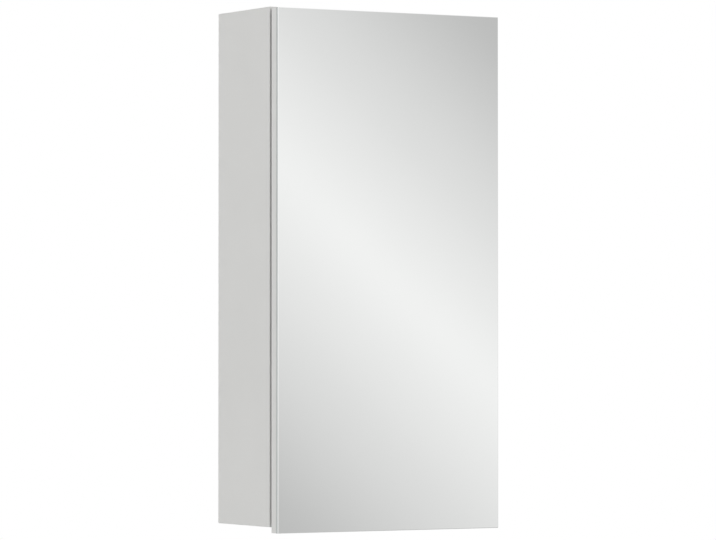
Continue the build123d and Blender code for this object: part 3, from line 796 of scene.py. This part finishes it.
class CABINET_OT_corner_fittings(bpy.types.Operator):
    """Cams, bolts, caps and fluted dowels of the corner joints"""

    bl_idname = "cabinet.corner_fittings"
    bl_label = "Corner Fittings"

    def execute(self, context):
        finishes = context.scene.cabinet_finishes
        sizes = context.scene.cabinet_sizes
        dress(cast_metal("cam_zinc", finishes.cast_zinc), "cam_locks")
        dress(plated("bolt_zinc", finishes.zinc, roughness=0.24), "cam_bolts")
        dress(moulded("cap_plastic", finishes.white_plastic), "cam_covers")
        round_edges(["cam_locks", "cam_bolts"], sizes.metal_round)

        low, high = solids_of("dowels")[0]
        length = (high[X] - low[X]) / MM
        radius = (high[Y] - low[Y]) / 2 / MM
        hand_over(
            repeated(self.dowel(sizes, length, radius), seats("dowels", X, 1)),
            "fluted_dowels",
            "cabinet",
            beech_wood("beech", finishes),
            "dowels",
        )
        return {"FINISHED"}

    @staticmethod
    def dowel(sizes, length, radius):
        """Dowel with chamfered ends, whose every second edge sinks into a flute."""
        edges = 2 * sizes.flutes
        chamfer = radius / 4
        bm = bmesh.new()
        profile = [(0, 0), (radius - chamfer, 0), (radius, -chamfer), (radius, chamfer - length)]
        turned(bm, [*profile, (radius - chamfer, -length), (0, -length)], edges)
        for vert in bm.verts:
            if round(math.atan2(vert.co.y, vert.co.x) / FULL_TURN * edges) % 2:
                vert.co.xy *= 1 - sizes.flute_depth / MM / radius
        return bm


class ScrewRow(NamedTuple):
    """Screws of a node, the way that their heads face, and their sizes in millimetres."""

    node: str
    body: str
    axis: int
    way: int
    metal: str
    radius: float
    head_radius: float
    head_height: float
    length: float


SCREW_ROWS = [
    ScrewRow("back_panel_screws", "cabinet", Y, 1, "zinc", 1.5, 2.9, 0, 12.6),
    ScrewRow("hanging_bracket_screws", "cabinet", X, INWARD, "zinc", 2.0, 3.4, 1.8, 14.0),
    ScrewRow("mounting_plate_screws", "cabinet", X, -1, "nickel", 2.45, 4.2, 0, 11.45),
    ScrewRow("arm_fixing_screws", "cabinet", X, -1, "nickel", 2.0, 3.6, 2.2, 8.4),
    ScrewRow("cup_screws", "door", Y, 1, "zinc", 1.6, 2.8, 0, 9.3),
]


class CABINET_OT_screws(bpy.types.Operator):
    """Screws with cross recesses and threads"""

    bl_idname = "cabinet.screws"
    bl_label = "Screws"

    def execute(self, context):
        finishes = context.scene.cabinet_finishes
        sizes = context.scene.cabinet_sizes
        metals = {
            "zinc": plated("screw_zinc", finishes.zinc, roughness=0.26),
            "nickel": plated("screw_nickel", finishes.nickel, roughness=0.2),
        }
        for row in SCREW_ROWS:
            one = screw(sizes, row.radius, row.head_radius, row.head_height, row.length)
            whole = repeated(one, seats(row.node, row.axis, row.way))
            metal = metals[row.metal]
            hand_over(whole, f"{row.node}_turned", row.body, metal, row.node)
        return {"FINISHED"}


class CABINET_OT_brackets(bpy.types.Operator):
    """Hanging brackets of zinc plated steel"""

    bl_idname = "cabinet.brackets"
    bl_label = "Hanging Brackets"

    def execute(self, context):
        steel = plated(
            "bracket_zinc",
            context.scene.cabinet_finishes.zinc,
            roughness=0.3,
            brushed=(1.0, 1.0, 0.08),
            grain=0.16,
            cloud_scale=140,
        )
        names = ["left_hanging_bracket", "right_hanging_bracket"]
        dress(steel, *names)
        round_edges(names, context.scene.cabinet_sizes.metal_round)
        return {"FINISHED"}


class CABINET_OT_hinges(bpy.types.Operator):
    """Nickel plated cup hinges with their pins and springs"""

    bl_idname = "cabinet.hinges"
    bl_label = "Cup Hinges"

    def execute(self, context):
        finishes = context.scene.cabinet_finishes
        pressed = plated(
            "hinge_nickel",
            finishes.nickel,
            roughness=0.16,
            brushed=(1.0, 0.08, 1.0),
            grain=0.1,
            cloud_scale=90,
        )
        names = [
            f"{end}_{part}"
            for end in ("upper", "lower")
            for part in ("mounting_plate", "hinge_arm", "hinge_cup")
        ]
        steel = plated("pivot_steel", finishes.pin_steel, roughness=0.2)
        dress(pressed, *names, "arm_adjusting_screws")
        dress(steel, "hinge_pins", "cup_springs")
        round_edges(names, context.scene.cabinet_sizes.metal_round)
        return {"FINISHED"}


class CABINET_OT_shelves(bpy.types.Operator):
    """Glass shelves on nickel pins"""

    bl_idname = "cabinet.shelves"
    bl_label = "Glass Shelves"

    def execute(self, context):
        finishes = context.scene.cabinet_finishes
        sizes = context.scene.cabinet_sizes
        shelves = ["upper_shelf", "lower_shelf"]
        dress(shelf_glass("shelf_glass", finishes), *shelves)
        nickel = plated("pin_nickel", finishes.nickel, roughness=0.18)
        for shelf in shelves:
            node = f"{shelf}_pins"
            low, high = solids_of(node)[0]
            length = (high[X] - low[X]) / MM
            collar_radius = (high[Y] - low[Y]) / 2 / MM
            flat = (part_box(shelf)[0].z - (low[Z] + high[Z]) / 2) / MM
            one = self.pin(sizes, length, collar_radius, flat)
            whole = repeated(one, seats(node, X, INWARD))
            hand_over(whole, f"{node}_turned", "cabinet", nickel, node)
        return {"FINISHED"}

    @staticmethod
    def pin(sizes, length, collar_radius, flat):
        """Pin with a grooved shank, a collar and a tongue cut flat for the glass."""
        tongue_length = 8.0
        tongue_radius = 3.0
        shank_radius = 2.45
        groove_radius = shank_radius - 0.25
        edge = 0.2
        front = -tongue_length
        rear = front - 1.0
        groove = rear - 2.0
        bm = bmesh.new()
        tongue = [(0, 0), (tongue_radius - 0.9, 0), (tongue_radius - 0.25, -0.3)]
        tongue += [(tongue_radius, -0.9), (tongue_radius, front - 0.4), (0, front - 0.4)]
        turned(bm, tongue, sizes.turning_steps)
        cut = bmesh.ops.bisect_plane(
            bm,
            geom=bm.verts[:] + bm.edges[:] + bm.faces[:],
            plane_co=(0, flat, 0),
            plane_no=(0, 1, 0),
            clear_outer=True,
        )
        rim = [part for part in cut["geom_cut"] if isinstance(part, bmesh.types.BMEdge)]
        bmesh.ops.contextual_create(bm, geom=rim)
        collar = [(0, front), (collar_radius - edge, front), (collar_radius, front - edge)]
        collar += [(collar_radius, rear + edge), (collar_radius - edge, rear)]
        shank = [(shank_radius, rear), (shank_radius, groove), (groove_radius, groove - 0.3)]
        shank += [(groove_radius, groove - 0.9), (shank_radius, groove - 1.2)]
        shank += [(shank_radius, 0.6 - length), (shank_radius - 0.6, -length), (0, -length)]
        turned(bm, collar + shank, sizes.turning_steps)
        return bm


class CABINET_OT_mirror(bpy.types.Operator):
    """Mirror with its ground edge and the foam tape behind it"""

    bl_idname = "cabinet.mirror"
    bl_label = "Mirror"

    def execute(self, context):
        finishes = context.scene.cabinet_finishes
        dress(silvered_glass("silvered_glass", finishes), "mirror_glass")
        dress(foam("tape_foam", finishes.foam), "mirror_tapes")
        round_edges(["mirror_tapes"], context.scene.cabinet_sizes.tape_round)
        return {"FINISHED"}


class CABINET_OT_buffers(bpy.types.Operator):
    """Clear domed buffers on the back of the door"""

    bl_idname = "cabinet.buffers"
    bl_label = "Door Buffers"

    def execute(self, context):
        low, high = solids_of("door_buffers")[0]
        height = (high[Y] - low[Y]) / MM
        radius = (high[X] - low[X]) / 2 / MM
        foot = 0.15
        profile = [(0, 0), *crown(0, radius, height - 0.6, 9), (radius, foot - height)]
        profile += [(radius - foot, -height), (0, -height)]
        bm = bmesh.new()
        turned(bm, profile, context.scene.cabinet_sizes.turning_steps)
        hand_over(
            repeated(bm, seats("door_buffers", Y, 1)),
            "domed_buffers",
            "door",
            clear_rubber("clear_silicone", context.scene.cabinet_finishes.silicone),
            "door_buffers",
            crease=60.0,
        )
        return {"FINISHED"}


class CABINET_OT_studio(bpy.types.Operator):
    """Camera, lamps, pale floor and white surroundings"""

    bl_idname = "cabinet.studio"
    bl_label = "Studio"

    def execute(self, context):
        studio = context.scene.cabinet_studio
        scene = context.scene
        scene.view_settings.view_transform = "Standard"
        self.add_camera(scene, studio)
        self.add_floor(scene, studio)
        lamps = [
            ("key_lamp", (-3.4, -0.4, 0.9), 2.4, studio.key_power),
            ("fill_lamp", (1.3, -3.2, 1.1), 2.0, studio.fill_power),
            ("rear_lamp", (2.2, 2.8, 1.0), 2.0, studio.rear_power),
        ]
        for name, place, size, power in lamps:
            self.add_lamp(scene, name, place, size, power)
        self.light_world(scene, studio)
        return {"FINISHED"}

    @staticmethod
    def add_camera(scene, studio):
        data = bpy.data.cameras.new("camera")
        data.lens = studio.lens
        data.sensor_fit = "HORIZONTAL"
        data.sensor_width = 36.0
        data.clip_start = 0.1
        data.clip_end = 100.0
        camera = bpy.data.objects.new("camera", data)
        camera.location = studio.camera_place
        camera.rotation_euler = (math.pi / 2 + studio.camera_tilt, 0.0, -studio.camera_yaw)
        scene.collection.objects.link(camera)
        scene.camera = camera

    @staticmethod
    def add_lamp(scene, name, place, size, power):
        """Round lamp that looks at the middle of the wall face and is itself never seen."""
        data = bpy.data.lights.new(name, "AREA")
        data.shape = "DISK"
        data.size = size
        data.energy = power
        lamp = bpy.data.objects.new(name, data)
        lamp.location = place
        lamp.rotation_euler = (-Vector(place)).to_track_quat("-Z", "Y").to_euler()
        lamp.visible_glossy = False
        lamp.visible_camera = False
        scene.collection.objects.link(lamp)

    @staticmethod
    def add_floor(scene, studio):
        """Pale round floor: keeps the shadow, fades into the white, is clear from beneath."""
        bm = bmesh.new()
        bmesh.ops.create_circle(bm, cap_ends=True, segments=96, radius=FLOOR_RADIUS)
        bmesh.ops.translate(bm, vec=(0, 0, studio.floor_level), verts=bm.verts)
        mesh = bpy.data.meshes.new("floor")
        bm.to_mesh(mesh)
        bm.free()

        shading = new_shading("floor_paint")
        point = shading.place()
        x, y, _ = shading.parts(point)
        distance = shading.maths("SQRT", x * x + y * y) / FLOOR_RADIUS
        fade = shading.ramp(distance, FLOOR_FADE, "EASE")
        seen = shading.ray("Camera")
        beneath = shading.node("ShaderNodeNewGeometry", output="Backfacing")
        grain = shading.noise(point, 60, detail=3.0)
        paint = shading.principled(
            base_color=shading.mix(grain * 0.02, studio.floor_colour, (0.5, 0.5, 0.5)),
            roughness=0.8 + grain * 0.1,
        )
        white = shading.node("ShaderNodeEmission", None, {"Strength": 1.0})
        clear = shading.node("ShaderNodeBsdfTransparent")
        above = shading.blend(fade * seen, paint, white)
        mesh.materials.append(shading.finish(shading.blend(beneath * seen, above, clear)))

        floor = bpy.data.objects.new("floor", mesh)
        floor.visible_glossy = False
        scene.collection.objects.link(floor)

    @staticmethod
    def light_world(scene, studio):
        """White for the eye and through glass, a soft slanting sheen for reflections."""
        scene.world = bpy.data.worlds.new("studio")
        shading = Shading(scene.world)

        # Angle across the stripes of the sheen, which lean 45 degrees in the mirror
        x, y, z = shading.parts(shading.node("ShaderNodeTexCoord", output="Generated"))
        yaw = studio.camera_yaw
        ahead = x * math.sin(yaw) - y * math.cos(yaw)
        aside = x * math.cos(yaw) + y * math.sin(yaw)
        turn = shading.maths("ARCTAN2", aside, ahead)
        lean = turn + shading.maths("ARCSINE", z) - RIDGE_OFFSET
        across = abs(lean)
        ridge = shading.ramp(across / RIDGE_WIDTH, RIDGE, "B_SPLINE")
        width = LEFT_WAVE_WIDTH + (lean > 0.0) * (RIGHT_WAVE_WIDTH - LEFT_WAVE_WIDTH)
        waves = shading.maths("PINGPONG", across - RIDGE_WIDTH, width)
        wave = shading.ramp(waves / width, WAVE, "EASE")
        level = shading.mix(across < RIDGE_WIDTH, wave, ridge)
        shade = shading.ramp(z * -1.0, BELOW_HORIZON, "EASE")

        sheen = shading.background(level * shade)
        lit = shading.background(WHITE, studio.ambient)
        seen = shading.ray("Camera") + shading.ray("Transmission")
        plain = shading.blend(seen, lit, shading.background(WHITE))
        shader = shading.blend(shading.ray("Glossy"), plain, sheen)
        shading.node("ShaderNodeOutputWorld", None, {"Surface": shader})


class CABINET_PT_panel(bpy.types.Panel):
    """Settings and steps of the mirror cabinet"""

    bl_idname = "CABINET_PT_panel"
    bl_label = "Mirror Cabinet"
    bl_space_type = "VIEW_3D"
    bl_region_type = "UI"
    bl_category = "Mirror Cabinet"

    def draw(self, context):
        layout = self.layout
        for step in STEPS:
            layout.operator(step.bl_idname)
        for settings in ("cabinet_sizes", "cabinet_finishes", "cabinet_studio"):
            group = getattr(context.scene, settings)
            box = layout.box()
            for name in group.__annotations__:
                box.prop(group, name)


STEPS = [
    CABINET_OT_boards,
    CABINET_OT_corner_fittings,
    CABINET_OT_screws,
    CABINET_OT_brackets,
    CABINET_OT_hinges,
    CABINET_OT_shelves,
    CABINET_OT_mirror,
    CABINET_OT_buffers,
    CABINET_OT_studio,
]
CLASSES = [CabinetSizes, CabinetFinishes, CabinetStudio, *STEPS, CABINET_PT_panel]


def register():
    for added in CLASSES:
        bpy.utils.register_class(added)
    bpy.types.Scene.cabinet_sizes = PointerProperty(type=CabinetSizes)
    bpy.types.Scene.cabinet_finishes = PointerProperty(type=CabinetFinishes)
    bpy.types.Scene.cabinet_studio = PointerProperty(type=CabinetStudio)


def unregister():
    del bpy.types.Scene.cabinet_studio
    del bpy.types.Scene.cabinet_finishes
    del bpy.types.Scene.cabinet_sizes
    for added in reversed(CLASSES):
        bpy.utils.unregister_class(added)


def main():
    register()
    bpy.ops.cabinet.boards()
    bpy.ops.cabinet.corner_fittings()
    bpy.ops.cabinet.screws()
    bpy.ops.cabinet.brackets()
    bpy.ops.cabinet.hinges()
    bpy.ops.cabinet.shelves()
    bpy.ops.cabinet.mirror()
    bpy.ops.cabinet.buffers()
    bpy.ops.cabinet.studio()


if __name__ == "__main__":
    main()
